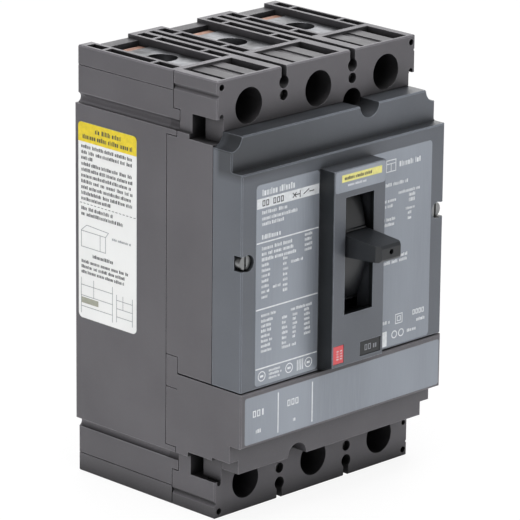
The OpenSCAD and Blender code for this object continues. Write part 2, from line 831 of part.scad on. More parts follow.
module yoke_pivot_studs() {
    color(zinc) both_sides() bar_along_x(pivot, yoke_x[0] - 0.6, frame_x[1], 2.45);
}
module frame_spacers() {
    color(zinc) for (p = [[47, -16], [72, 37]]) bar_along_x(p, -frame_x[1], frame_x[1], 1.5);
}
module cradle_pivot_pin() {
    color(zinc) bar_along_x(cradle_pivot, -frame_x[1], frame_x[1], 2);
}
module latch_pivot_pin() {
    color(zinc) bar_along_x(latch_pivot, -frame_x[1], frame_x[1], pin_r);
}

module handle_yoke() {
    color(steel) difference() {
        union() {
            both_sides() side_shape(yoke_x[0], yoke_x[1]) {
                translate(pivot) circle(r = 5);
                polygon([pivot + [-1, 4.9], [78.4, 21], [78.4, 9], pivot + [-1, -4.9]]);
            }
            block(-yoke_x[1], yoke_x[1], 76, 78.4, 9, 21);
        }
        bar_along_x(pivot, -20, 20, 2.5);
        bar_along_x(anchor, -20, 20, pin_r + 0.02);
    }
}

module spring_anchor_pin() {
    color(zinc) bar_along_x(anchor, -yoke_x[1], yoke_x[1], pin_r);
}

// The lever and the curved dust shield that moves behind the opening, with a rib above the lever
// and one along its lower end
module toggle_handle() {
    half_tip = lever_tip_h / 2;
    color(black_plastic) {
        intersection() {
            side_shape(-lever_half_w, lever_half_w) polygon([[78.4, lever_z - 4.4], [90, lever_z - 4.1],
                [lever_tip_d - 1, lever_z - half_tip], [lever_tip_d, lever_z - half_tip + 1],
                [lever_tip_d, lever_z + half_tip - 1], [lever_tip_d - 1, lever_z + half_tip],
                [90, lever_z + 4.1], [78.4, lever_z + 4.1]]);
            difference() {
                translate([0, 0, lever_z - 10]) linear_extrude(height = 20)
                    polygon([[-lever_half_w, -70], [lever_half_w, -70], [lever_half_w, -95],
                        [lever_half_w - 0.7, -lever_tip_d + 2.2], [lever_half_w - 1.9, -lever_tip_d],
                        [-lever_half_w + 1.9, -lever_tip_d], [-lever_half_w + 0.7, -lever_tip_d + 2.2],
                        [-lever_half_w, -95]]);
                bar_along_y(0, lever_z + 0.4, lever_tip_d - 4, lever_tip_d + 1, 1);
            }
        }
        difference() {
            side_shape(-shield_x, shield_x) shield_outline();
            block(-5, 5, 80, 100, lever_z - 3, lever_z + 3);
        }
        for (a = [shield_low + 0.4, 8.4]) turn_about(pivot, a)
            block(-shield_x, shield_x, pivot[0] + shield_r - 0.5, pivot[0] + shield_r + 0.4,
                pivot[1] - 0.3, pivot[1] + 0.3);
    }
}

// Outline of the shield: a ring about the pivot between its two end angles
module shield_outline() {
    difference() {
        translate(pivot) circle(r = shield_r, $fn = 180);
        translate(pivot) circle(r = shield_r - shield_t, $fn = 180);
        translate(pivot) polygon([[0, 0], 90 * [cos(shield_high), sin(shield_high)], [0, 90], [-90, 90],
            [-90, -90], [0, -90], 90 * [cos(shield_low), sin(shield_low)]]);
    }
}

// Coil springs from the knee to the yoke, with an eye at each end
module main_springs() {
    run = anchor - knee;
    angle = atan2(run[1], run[0]);
    eye_r = 2.1;
    coil_r = 1.9;
    color(zinc) both_sides() translate([spring_x, -knee[0], knee[1]])
        rotate([-angle, 0, 0]) rotate([0, 0, -90]) {
        translate([eye_r + 1, 0, 0]) coil(coil_r, 0.4, norm(run) - 2 * eye_r - 2, 10);
        for (end = [0, 1]) translate([end * norm(run), 0, 0]) mirror([end, 0, 0]) {
            rotate([90, 0, 0]) rotate_extrude() translate([eye_r, 0]) circle(r = 0.4, $fn = 16);
            translate([eye_r, 0, 0]) rotate([0, atan2(1, coil_r), 0])
                cylinder(r = 0.38, h = norm([1, coil_r]), $fn = 16);
        }
    }
}

// ---------- trip parts ----------

module bimetals() {
    color("#b9a98c") each_pole() {
        block(-3, 3, 65.2, 66.2, -50, -33.4);
        block(-3, 3, 64, 65.2, -50, -46);
    }
}

module calibration_screws() {
    color(zinc) each_pole() {
        bar_along_y(0, -35, 66.2, 70.4, 1.2);
    }
}

module magnet_yokes() {
    color(steel) each_pole() difference() {
        block(-8.8, 8.8, 58, 69.3, -48.5, -42);
        block(-7.2, 7.2, 60, 70, -49, -41);
    }
}

module armature_shaft() {
    color(zinc) bar_along_x(armature_axis, -48.5, 48.5, 1.2);
}

module armature(x) {
    color(steel) translate([x, 0, 0]) difference() {
        union() {
            bar_along_x(armature_axis, -8.5, 8.5, 2.3);
            block(-8.5, 8.5, 71.2, 72.7, -53, -40);
            block(-2.5, 2.5, 71.9, 73.1, -40, -35);
        }
        bar_along_x(armature_axis, -9, 9, 1.2 + pin_gap);
    }
}
module armature_left() { armature(-pitch); }
module armature_centre() { armature(0); }
module armature_right() { armature(pitch); }

module trip_bar() {
    color(black_plastic) {
        bar_along_x(trip_axis, -47, 47, 2.2);
        each_pole() block(-2, 2, 75, 77.2, -37.6, -34.6);
        block(-11.5, -9, 77.8, 79.8, -38, -22.6);
        side_shape(-2, 2) polygon([[76.6, -38], [72.55, -31], [72.55, -25.5], [74.6, -25.5], [79, -36]]);
    }
}

module trip_button() {
    color("#d8383c") {
        block(button_x[0], button_x[1], 91.2, collar_d - 0.05, button_z[0], button_z[1]);
        block(stem[0] - 1.1, stem[0] + 1.1, 80, 91.3, stem[1] - 1.2, stem[1] + 1.2);
    }
}

module trip_button_spring() {
    color(zinc) translate([stem[0], -87.45, stem[1]]) rotate([0, 0, -90]) coil(2.05, 0.25, 3.4, 3);
}

base_case();
mid_case();
front_cover();
left_nameplate();
right_nameplate();
badge_plate();
side_label();
trip_unit_housing();
trip_unit_label();
rating_insert();
cover_screws();
case_screws();
trip_unit_screws();
rotor_bearing_caps();
line_conductors();
fixed_contact_tips();
lower_contact_bars();
heater_bars();
load_terminals();
conductor_screws();
line_lugs();
load_lugs();
lug_mounting_screws();
arc_chute_frames();
splitter_plates();
bimetals();
calibration_screws();
magnet_yokes();
armature_shaft();
side_frames();
yoke_pivot_studs();
frame_spacers();
cradle_pivot_pin();
latch_pivot_pin();
toggle_handle();
handle_yoke();
spring_anchor_pin();
rotor_bar();
contact_bridges();
bridge_contact_tips();
crank_pins();
lower_links();
upper_links();
knee_pin();
upper_link_pin();
cradle();
latch();
trip_button();
trip_bar();
armature_left();
armature_centre();
armature_right();
main_springs();
trip_button_spring();
line_screw_left();
line_screw_centre();
line_screw_right();
load_screw_left();
load_screw_centre();
load_screw_right();
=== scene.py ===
"""Looks of a three-pole molded case breaker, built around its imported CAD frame. All lengths are metres."""

import math
import random

import bmesh
import bpy
from mathutils import Matrix, Vector


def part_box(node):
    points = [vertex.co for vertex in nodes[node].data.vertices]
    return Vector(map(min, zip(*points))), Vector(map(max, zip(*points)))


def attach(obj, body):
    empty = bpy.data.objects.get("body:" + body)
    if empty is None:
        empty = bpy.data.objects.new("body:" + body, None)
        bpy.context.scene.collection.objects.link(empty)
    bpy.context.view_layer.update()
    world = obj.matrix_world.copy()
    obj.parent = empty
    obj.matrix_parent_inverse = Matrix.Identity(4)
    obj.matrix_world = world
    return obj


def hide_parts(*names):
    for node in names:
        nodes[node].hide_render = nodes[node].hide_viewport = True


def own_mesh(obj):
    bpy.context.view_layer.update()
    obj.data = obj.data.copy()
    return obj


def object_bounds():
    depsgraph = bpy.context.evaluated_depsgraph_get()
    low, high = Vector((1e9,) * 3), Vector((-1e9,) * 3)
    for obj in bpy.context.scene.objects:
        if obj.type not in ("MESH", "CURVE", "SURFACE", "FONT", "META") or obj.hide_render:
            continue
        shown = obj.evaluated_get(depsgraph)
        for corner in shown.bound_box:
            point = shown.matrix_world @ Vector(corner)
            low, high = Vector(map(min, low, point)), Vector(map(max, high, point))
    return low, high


MM = 0.001
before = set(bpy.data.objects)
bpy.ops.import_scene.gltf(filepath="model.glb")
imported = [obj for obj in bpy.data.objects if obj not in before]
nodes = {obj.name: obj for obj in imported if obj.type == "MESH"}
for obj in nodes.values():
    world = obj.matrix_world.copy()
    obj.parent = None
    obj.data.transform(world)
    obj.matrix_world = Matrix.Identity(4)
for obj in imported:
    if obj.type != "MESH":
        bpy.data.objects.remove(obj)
cad_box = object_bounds()


# ---------- shader helpers ----------


def linear(colour, gain=1.0):
    """An sRGB colour such as '#5b5f66' as linear RGBA, made gain times brighter."""
    values = [int(colour[i : i + 2], 16) / 255 for i in (1, 3, 5)]
    curve = [v / 12.92 if v <= 0.04045 else ((v + 0.055) / 1.055) ** 2.4 for v in values]
    return [min(1.0, v * gain) for v in curve] + [1.0]


class Paint:
    """A principled material, with short names for the nodes that it needs."""

    def __init__(self, name):
        self.material = bpy.data.materials.new(name)
        self.material.use_nodes = True
        self.tree = self.material.node_tree
        self.surface = self.tree.nodes["Principled BSDF"]
        self.place = self.add("TexCoord").outputs["Object"]
        self.rounded = None

    def add(self, kind, inputs=None, **settings):
        """Adds a shader node; inputs maps a socket to a plain value or to another node's output."""
        node = self.tree.nodes.new("ShaderNode" + kind)
        for key, value in settings.items():
            setattr(node, key, value)
        for key, value in (inputs or {}).items():
            self.wire(value, node.inputs[key])
        return node

    def wire(self, value, socket):
        if isinstance(value, bpy.types.NodeSocket):
            self.tree.links.new(value, socket)
        else:
            socket.default_value = value

    def set(self, **inputs):
        """Wires the principled shader: base_color=... sets 'Base Color' and so on."""
        for key, value in inputs.items():
            self.wire(value, self.surface.inputs[key.replace("_", " ").title().replace("Ior", "IOR")])

    def noise(self, scale, detail=2.0, stretch=(1, 1, 1)):
        """Noise from 0 to 1 with features about 1 / scale metres long."""
        moved = self.add("Mapping", {"Vector": self.place, "Scale": stretch})
        made = self.add("TexNoise", {"Vector": moved.outputs[0], "Scale": scale, "Detail": detail})
        return made.outputs["Fac"]

    def ramp(self, value, low, high, start=0.0, end=1.0):
        """value remapped from low..high to start..end, clamped."""
        limits = {"From Min": low, "From Max": high, "To Min": start, "To Max": end}
        return self.add("MapRange", {"Value": value, **limits}).outputs["Result"]

    def mix(self, share, a, b):
        made = self.add("Mix", data_type="RGBA")
        for index, value in ((0, share), (6, a), (7, b)):
            self.wire(value, made.inputs[index])
        return made.outputs[2]

    def calc(self, operation, a, b=0.0):
        return self.add("Math", {0: a, 1: b}, operation=operation).outputs[0]

    def axis(self, name):
        """One coordinate of the shaded point, in metres."""
        return self.add("SeparateXYZ", {"Vector": self.place}).outputs[name]

    def span(self, name, about=0.0):
        """How far the shaded point is from the middle plane across one axis, less about."""
        middle = self.calc("ABSOLUTE", self.axis(name))
        return self.calc("SUBTRACT", middle, about)

    def normal(self):
        """The parts of the surface normal, by axis name."""
        return self.add("SeparateXYZ", {"Vector": self.add("NewGeometry").outputs["Normal"]}).outputs

    def both(self, a, b):
        """The product of two masks."""
        return self.calc("MULTIPLY", a, b)

    def shade(self, base, mask, factor):
        """The colour base multiplied by factor where mask is 1."""
        return self.tint(base, self.ramp(mask, 0, 1, 1, factor))

    def tint(self, base, share):
        """The colour base made darker or lighter by a factor that may change from place to place."""
        return self.add("VectorMath", {0: base, 1: share}, operation="MULTIPLY").outputs["Vector"]

    def open_sky(self, reach):
        """1 on open faces and outer edges, falling towards 0 inside deep holes and narrow gaps."""
        return self.add("AmbientOcclusion", {"Distance": reach}, samples=6).outputs["AO"]

    def round_edges(self, radius):
        """Shades edges as if rounded, and returns a mask near 0 on flat faces and up to 1 at an edge."""
        rounded = self.add("Bevel", {"Radius": radius}, samples=4).outputs["Normal"]
        flat = self.add("NewGeometry").outputs["Normal"]
        dot = self.add("VectorMath", {0: rounded, 1: flat}, operation="DOT_PRODUCT").outputs["Value"]
        self.rounded = rounded
        return self.ramp(dot, 1.0, 0.8)

    def bump(self, height, strength, distance):
        made = self.add("Bump", {"Height": height, "Strength": strength, "Distance": distance})
        if self.rounded:
            self.wire(self.rounded, made.inputs["Normal"])
        self.set(normal=made.outputs["Normal"])


# ---------- materials ----------


def moulded_plastic(name, colour, rough=0.5, rub_and_sheen=0.75, grain=0.12, shade=None, hollow_shade=0.06):
    """Moulded thermoset: cloudy colour, fine spark-eroded grain, edges painted lighter as rubbed wear and a
    painted highlight, and painted shade in holes and gaps.

    shade(paint, colour) may return the colour changed by the place on the part."""
    p = Paint(name)
    cloud = p.noise(22, 4)
    speck = p.noise(1400, 2)
    base = p.mix(p.ramp(cloud, 0.35, 0.65), linear(colour, 0.93), linear(colour, 1.07))
    base = p.mix(p.ramp(speck, 0.55, 0.75, 0, 0.2), base, linear(colour, 1.35))
    sky = p.open_sky(12 * MM)
    # Painted highlight along outer edges, partly rubbed wear, kept to edges that stand open.
    worn_and_highlit = p.calc("MULTIPLY", p.round_edges(0.35 * MM), p.ramp(p.noise(160, 3), 0.3, 0.6, 0.6, 1))
    worn_and_highlit = p.calc("MULTIPLY", worn_and_highlit, p.ramp(sky, 0.7, 0.92))
    if shade:
        base = shade(p, base)
    base = p.mix(p.calc("MULTIPLY", worn_and_highlit, rub_and_sheen), base, linear(colour, 4.5))
    # Painted shade in holes, gaps and inner corners, darkest deep inside.
    base = p.tint(base, p.ramp(sky, 0.38, 0.88, hollow_shade, 1))
    p.set(base_color=base, roughness=p.ramp(p.noise(60, 3), 0.3, 0.7, rough - 0.06, rough + 0.08))
    p.set(specular_ior_level=0.45)
    p.bump(p.noise(2600, 3), grain, 0.03 * MM)
    return p.material


def case_shading(p, base):
    """Painted shade on up-facing faces sunk below the end tops and inside the driver holes, and a painted
    highlight on the rail grooves of the rear case.
    """
    skin, sunk_depth = 0.3 * MM, 0.6 * MM
    # Painted shade on up-facing faces below the top of the case.
    up = p.ramp(p.normal()["Z"], 0.8, 0.95)
    sunk = p.ramp(p.axis("Z"), cad_box[1].z - skin, cad_box[1].z - sunk_depth)
    base = p.shade(base, p.both(up, sunk), 0.55)

    # Painted shade inside the driver holes of the terminal ends.
    low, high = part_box("line_screw_right")
    hole_radius, hole_mouth = 6.75 * MM, -40 * MM
    across = p.calc("MINIMUM", p.span("X"), p.calc("ABSOLUTE", p.span("X", (low.x + high.x) / 2)))
    along = p.span("Z", (low.z + high.z) / 2)
    radius = p.calc("SQRT", p.calc("ADD", p.calc("POWER", across, 2), p.calc("POWER", along, 2)))
    hole = p.both(p.calc("LESS_THAN", radius, hole_radius), p.calc("LESS_THAN", p.axis("Y"), hole_mouth))
    base = p.shade(base, hole, 0.3)

    # Painted highlight on the rail grooves along the sides of the rear case.
    rail_z, rail_half, rear_case, side_x = 62.2 * MM, 2 * MM, -47.5 * MM, 47 * MM
    rail = p.calc("LESS_THAN", p.calc("ABSOLUTE", p.span("Z", rail_z)), rail_half)
    rail = p.both(rail, p.calc("GREATER_THAN", p.axis("Y"), rear_case))
    side = p.calc("GREATER_THAN", p.span("X"), side_x)
    return p.shade(base, p.both(side, rail), 1.5)


def cover_shading(p, base):
    """Painted shade on the cover.

    The band has a painted shade that deepens to its left, its ledges and notches have painted shade, and the
    sides and the opening of the collar have painted shade that is nearly black."""
    normal = p.normal()
    # Painted shade on the band front, deepest at its left end.
    band = p.ramp(p.axis("Z"), 47 * MM, 50.5 * MM)
    front = p.ramp(p.axis("Y"), -73 * MM, -75 * MM)
    band_shade = p.ramp(p.axis("X"), -51.5 * MM, 25 * MM, 0.45, 1)
    base = p.shade(base, p.both(band, front), band_shade)

    # Painted shade on the faces of the cover that face up and in the corner notches.
    up = p.ramp(normal["Z"], 0.8, 0.95)
    notch = p.both(p.ramp(p.axis("Z"), 57.2 * MM, 57.8 * MM), p.ramp(normal["Y"], -0.6, -0.4))
    base = p.shade(base, p.calc("MAXIMUM", up, notch), 0.38)

    # Painted shade, nearly black, on the side walls of the collar and inside its opening.
    collar_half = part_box("badge_plate")[1].x + 0.3 * MM
    fascia, collar_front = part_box("left_nameplate")[0].y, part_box("front_cover")[0].y
    opening_half, opening_top = 8 * MM, 40 * MM
    wall = p.calc("LESS_THAN", p.calc("ABSOLUTE", p.span("X", collar_half)), 0.12 * MM)
    proud = p.calc("LESS_THAN", p.axis("Y"), fascia - 0.15 * MM)
    inside = p.calc("LESS_THAN", p.span("X"), opening_half)
    inside = p.both(inside, p.calc("GREATER_THAN", p.axis("Y"), collar_front + 0.3 * MM))
    inside = p.both(inside, p.calc("LESS_THAN", p.axis("Z"), opening_top))
    return p.mix(p.calc("MAXIMUM", p.both(wall, proud), inside), base, linear("#1f2225"))


def printed_plate(name, colour, metal=0.25):
    """A satin foil plate with a soft brushed grain from end to end, and a painted sheen, lighter towards the
    top left.
    """
    p = Paint(name)
    brushed = p.noise(90, 3, stretch=(14, 14, 1))
    cloud = p.noise(25, 2, stretch=(1.6, 1, 0.4))
    base = p.mix(p.ramp(cloud, 0.3, 0.7), linear(colour, 0.9), linear(colour, 1.12))
    base = p.mix(p.ramp(brushed, 0.4, 0.7, 0, 0.3), base, linear(colour, 1.2))
    # Painted sheen: lighter towards the top and towards the left.
    base = p.tint(base, p.ramp(p.axis("Z"), 5 * MM, 45 * MM, 0.97, 1.08))
    base = p.tint(base, p.ramp(p.axis("X"), -20 * MM, 30 * MM, 1.03, 0.94))
    p.set(base_color=base, metallic=metal, roughness=p.ramp(brushed, 0.3, 0.7, 0.34, 0.46))
    p.bump(p.noise(1800, 2), 0.05, 0.02 * MM)
    return p.material


def ink(name, colour, rough=0.45):
    """Screen-printed ink: a slightly uneven film."""
    p = Paint(name)
    film = p.noise(700, 3)
    p.set(base_color=p.mix(p.ramp(film, 0.3, 0.7), linear(colour, 0.88), linear(colour, 1.06)))
    p.set(roughness=p.ramp(film, 0.3, 0.7, rough - 0.05, rough + 0.1))
    p.bump(film, 0.1, 0.01 * MM)
    return p.material


def paper(name, colour):
    """A coated paper label."""
    p = Paint(name)
    fibre = p.noise(2200, 4)
    p.set(base_color=p.mix(p.ramp(p.noise(35, 3), 0.3, 0.7), linear(colour, 0.95), linear(colour, 1.02)))
    p.set(roughness=p.ramp(fibre, 0.3, 0.7, 0.42, 0.55))
    p.bump(fibre, 0.06, 0.01 * MM)
    return p.material


def metal(name, colour, rough=0.3, stretch=(1, 1, 1), scale=500, stain=0.8, pits=0.15, sunk=False):
    """Bare or plated metal with tool marks along one direction, light staining and rubbed edges.

    A sunk metal gets painted shade, darker where it is shut in."""
    p = Paint(name)
    marks = p.noise(scale, 4, stretch=stretch)
    cloud = p.noise(120, 3)
    base = p.mix(p.ramp(cloud, 0.35, 0.65), linear(colour, stain), linear(colour, 1.05))
    base = p.mix(p.calc("MULTIPLY", p.round_edges(0.15 * MM), 0.4), base, linear(colour, 1.4))
    if sunk:
        # Painted shade on sunk metal in holes and wells.
        base = p.tint(base, p.ramp(p.open_sky(6 * MM), 0.3, 0.95, 0.15, 1))
    p.set(base_color=base, metallic=1.0, roughness=p.ramp(marks, 0.3, 0.7, rough - 0.1, rough + 0.12))
    p.bump(marks, pits, 0.03 * MM)
    return p.material


def fibre_board(name):
    """Vulcanised fibre: matt brown with fine fibres."""
    p = Paint(name)
    fibre = p.noise(500, 5, stretch=(1, 4, 1))
    p.set(base_color=p.mix(p.ramp(fibre, 0.3, 0.7), linear("#6b5139"), linear("#9b7c58")))
    p.set(roughness=p.ramp(fibre, 0.3, 0.7, 0.7, 0.9))
    p.bump(fibre, 0.3, 0.05 * MM)
    return p.material


def cad_materials():
    """Each material slot of the record and the finish that it gets."""
    return {
        "case_plastic": moulded_plastic("case_plastic_look", "#605e62", shade=case_shading),
        "cover_plastic": moulded_plastic("cover_plastic_look", "#61656c", rough=0.4, shade=cover_shading),
        "dark_plastic": moulded_plastic("dark_plastic_look", "#212326", rough=0.36, hollow_shade=0.6),
        "red_plastic": moulded_plastic("red_plastic_look", "#e5595e", rough=0.35, rub_and_sheen=0.1),
        "grey_plate": printed_plate("grey_plate_look", "#9298a1"),
        "white_label": paper("white_label_look", "#fbfcfb"),
        "zinc_steel": metal("zinc_steel_look", "#8f9090", rough=0.34),
        "plain_steel": metal("plain_steel_look", "#8b8d90", rough=0.38, stretch=(1, 1, 0.15)),
        "copper": metal("copper_look", "#8f5f45", rough=0.42, stretch=(1, 1, 0.1), sunk=True),
        "heater_alloy": metal("heater_alloy_look", "#8d857c", rough=0.42),
        "contact_silver": metal("contact_silver_look", "#d3d3d0", rough=0.28),
        "fibre_board": fibre_board("fibre_board_look"),
        "lug_aluminium": metal("lug_aluminium_look", "#8a8b8f", rough=0.42, stretch=(1, 0.3, 1), scale=260,
            stain=0.3, pits=0.9, sunk=True),
    }


looks = cad_materials()
for slot, look in looks.items():
    for node in nodes.values():
        for index, material in enumerate(node.data.materials):
            if material and material.name.split(".")[0] == slot:
                node.data.materials[index] = look


# ---------- printed marks ----------


class Print:
    """Flat marks on one face of a CAD node, in millimetres from its top left corner: u right, v down."""

    film = 0.04
    sunk = 0.02

    def __init__(self, node, facing):
        low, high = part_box(node)
        if facing == "front":
            self.corner = Vector((low.x, low.y, high.z))
            self.right, self.out = Vector((1, 0, 0)), Vector((0, -1, 0))
            self.width = (high.x - low.x) / MM
        else:
            self.corner = Vector((low.x, high.y, high.z))
            self.right, self.out = Vector((0, -1, 0)), Vector((-1, 0, 0))
            self.width = (high.y - low.y) / MM
        self.height = (high.z - low.z) / MM
        self.random = random.Random(node)
        self.sheets = {}
        self.ink = "white"

    def point(self, u, v, h):
        return self.corner + (self.right * u + Vector((0, 0, -1)) * v + self.out * h) * MM

    def prism(self, outline, rise=0.0):
        """A closed slab of ink with the given outline of (u, v) points, in turn."""
        mesh = self.sheets.setdefault(self.ink, bmesh.new())
        tops = [mesh.verts.new(self.point(u, v, self.film + rise)) for u, v in outline]
        feet = [mesh.verts.new(self.point(u, v, -self.sunk)) for u, v in outline]
        count = len(outline)
        mesh.faces.new(tops)
        mesh.faces.new(feet[::-1])
        for i in range(count):
            j = (i + 1) % count
            mesh.faces.new((tops[j], tops[i], feet[i], feet[j]))

    def bar(self, u0, v0, u1, v1, rise=0.0):
        self.prism([(u0, v0), (u0, v1), (u1, v1), (u1, v0)], rise)

    def line(self, u0, v0, u1, v1, width=0.25):
        """A straight stroke between two points."""
        along = Vector((u1 - u0, v1 - v0)).normalized() * width / 2
        side = Vector((-along.y, along.x))
        self.prism([(u0 - side.x, v0 - side.y), (u0 + side.x, v0 + side.y), (u1 + side.x, v1 + side.y),
            (u1 - side.x, v1 - side.y)])

    def frame(self, u0, v0, u1, v1, width=0.3):
        """The outline of a rectangle."""
        self.bar(u0, v0, u1, v0 + width)
        self.bar(u0, v1 - width, u1, v1)
        self.bar(u0, v0 + width, u0 + width, v1 - width)
        self.bar(u1 - width, v0 + width, u1, v1 - width)

    def ring(self, u, v, radius, width=0.35, sides=28):
        for i in range(sides):
            a, b = (2 * math.pi * k / sides for k in (i, i + 1))
            inner = radius - width
            self.prism([(u + inner * math.cos(a), v + inner * math.sin(a)),
                (u + inner * math.cos(b), v + inner * math.sin(b)),
                (u + radius * math.cos(b), v + radius * math.sin(b)),
                (u + radius * math.cos(a), v + radius * math.sin(a))])

    def words(self, u0, u1, v, height=1.3):
        """A greeked line of print: words of short upright marks, about v."""
        u = u0
        while u < u1 - 0.5 * height:
            stop = min(u1, u + height * self.random.uniform(1.6, 4.6))
            while u < stop - 0.2 * height:
                wide = height * self.random.choice((0.18, 0.32, 0.42))
                top = v - height * self.random.choice((0.5, 0.3, 0.3))
                self.bar(u, top, u + wide, v + height * 0.5)
                u += wide + 0.2 * height
            u = stop + 0.45 * height

    def block(self, u0, u1, v0, v1, rows, height=1.2, ragged=0.25):
        """Evenly spaced greeked lines whose right ends vary."""
        for i in range(rows):
            end = u1 - self.random.uniform(0, ragged) * (u1 - u0)
            self.words(u0, end, v0 + (v1 - v0) * i / max(1, rows - 1), height)

    def figures(self, u0, v, height, count):
        """Large hollow marks that stand where rating figures would."""
        for i in range(count):
            u = u0 + i * height * 0.85
            self.frame(u, v - height / 2, u + height * 0.62, v + height / 2, height * 0.16)

    def finish(self, name, body, inks):
        """Makes one piece for each ink used."""
        for ink, mesh in self.sheets.items():
            data = bpy.data.meshes.new(f"{name}_{ink}_print")
            mesh.to_mesh(data)
            mesh.free()
            data.materials.append(inks[ink][0])
            piece = bpy.data.objects.new(data.name, data)
            bpy.context.scene.collection.objects.link(piece)
            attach(piece, body)


def left_plate(p):
    edge, indent = 0.25, 2.9
    p.words(indent, 19.5, 3.0, 2.3)
    p.bar(edge, 5.0, p.width - edge, 8.7)
    p.ink = "dark"
    p.film = 0.06
    p.figures(indent, 6.9, 2.2, 2)
    p.figures(indent + 5.4, 6.9, 2.2, 3)
    contact_symbol(p, 18.0, 6.9)
    p.ink = "white"
    p.film = 0.04
    p.words(indent, 15.5, 10.3)
    p.words(indent, 22.0, 12.5)
    p.words(indent, 13.5, 14.5)
    p.words(indent, 12.5, 19.3, 1.7)
    for v in (21.3, 45.9, 68.0):
        p.bar(edge, v - 0.25, p.width - edge, v + 0.25)
    p.block(indent, 19.9, 23.5, 27.6, 3, 1.3, 0.1)
    p.block(24.4, 28.6, 22.6, 28.2, 4, 1.1, 0.4)
    p.block(indent, 7.2, 29.7, 41.5, 7, 1.1, 0.3)
    p.block(13.6, 16.6, 29.2, 41.0, 7, 1.1, 0.3)
    p.words(17.6, 23.8, 31.2, 1.1)
    p.words(8.6, 12.4, 38.6, 1.1)
    p.words(indent, 10.6, 48.3, 1.1)
    p.words(17.8, 28.6, 49.1, 1.1)
    p.block(indent, 8.8, 50.4, 61.6, 7, 1.1, 0.3)
    p.block(13.4, 16.4, 51.2, 60.8, 6, 1.1, 0.3)
    p.block(18.8, 21.0, 51.2, 59.4, 6, 1.1, 0.3)
    p.block(24.6, 28.2, 50.6, 59.6, 6, 1.1, 0.3)
    p.words(13.4, 21.6, 62.4, 1.1)
    for u in (3.4, 17.2, 27.0):
        p.ring(u, 71.0, 1.9)
        p.bar(u - 0.8, 70.6, u + 0.8, 71.4)
    p.block(7.0, 13.4, 69.6, 72.4, 3, 0.9, 0.2)
    for i in range(4):
        p.bar(21.2 + i * 0.9, 69.0, 21.6 + i * 0.9, 73.0)


def contact_symbol(p, u, v):
    """A general switch contact with a cross, a fixed stud and an open arm."""
    p.line(u, v - 0.9, u + 1.8, v + 0.9, 0.35)
    p.line(u, v + 0.9, u + 1.8, v - 0.9, 0.35)
    p.line(u + 1.0, v, u + 3.6, v, 0.35)
    p.line(u + 3.7, v - 1.3, u + 3.7, v + 1.3, 0.35)
    p.line(u + 5.4, v + 0.5, u + 8.2, v - 1.0, 0.35)
    p.line(u + 8.4, v, u + 10.8, v, 0.35)


def right_plate(p):
    p.frame(7.6, 3.4, 12.8, 8.0, 0.35)
    p.line(7.8, 4.9, 12.6, 4.9, 0.3)
    p.line(10.2, 4.9, 10.2, 7.9, 0.3)
    p.words(14.6, 26.4, 5.8, 2.0)
    p.words(2.6, 19.6, 12.8, 1.3)
    p.words(14.4, 26.0, 16.6, 1.2)
    p.block(2.6, 13.4, 18.8, 20.8, 2, 1.2, 0.1)
    p.block(20.0, 23.6, 18.4, 20.4, 2, 1.3, 0.3)
    p.words(18.4, 23.2, 23.4, 1.0)
    p.block(19.6, 21.8, 25.2, 27.2, 2, 1.1, 0.2)
    p.block(2.6, 13.2, 25.8, 27.8, 2, 1.2, 0.1)
    p.block(2.6, 20.4, 40.6, 42.4, 2, 1.2, 0.05)
    p.words(2.6, 11.4, 65.2, 1.3)
    p.frame(14.0, 63.0, 17.8, 66.8, 0.3)
    p.frame(14.9, 63.9, 16.9, 65.9, 0.3)
    p.figures(23.2, 64.2, 1.9, 4)
    p.words(25.4, 29.6, 67.4, 1.3)
    p.ring(13.6, 70.6, 1.5, 0.4)
    p.ring(17.2, 70.6, 1.5, 0.4)
    p.words(20.4, 25.4, 70.6, 1.2)
    p.bar(6.9, 68.6, 9.6, p.height - 0.4)


def badge(p):
    p.ink = "pale_yellow"
    p.bar(3.1, 1.5, 23.6, 4.2)
    p.ink = "dark"
    p.film = 0.06
    p.words(4.4, 18.5, 2.85, 1.2)
    p.ink = "white"
    p.film = 0.04
    p.words(6.2, 15.4, 5.5, 0.9)


def rating_window(p):
    p.ink = "grey"
    p.figures(2.6, p.height / 2, 2.2, 2)
    p.words(7.0, 8.6, p.height / 2, 2.0)


def trip_plate(p):
    for u in (16.7, 34.1):
        p.bar(u - 0.25, 1.2, u + 0.25, p.height - 1.2)
    p.figures(4.0, 6.6, 2.5, 2)
    p.words(8.6, 10.2, 6.6, 2.4)
    p.words(5.6, 8.2, 13.4, 1.4)
    p.figures(21.4, 6.4, 2.4, 3)
    p.words(24.4, 26.0, 13.2, 1.4)


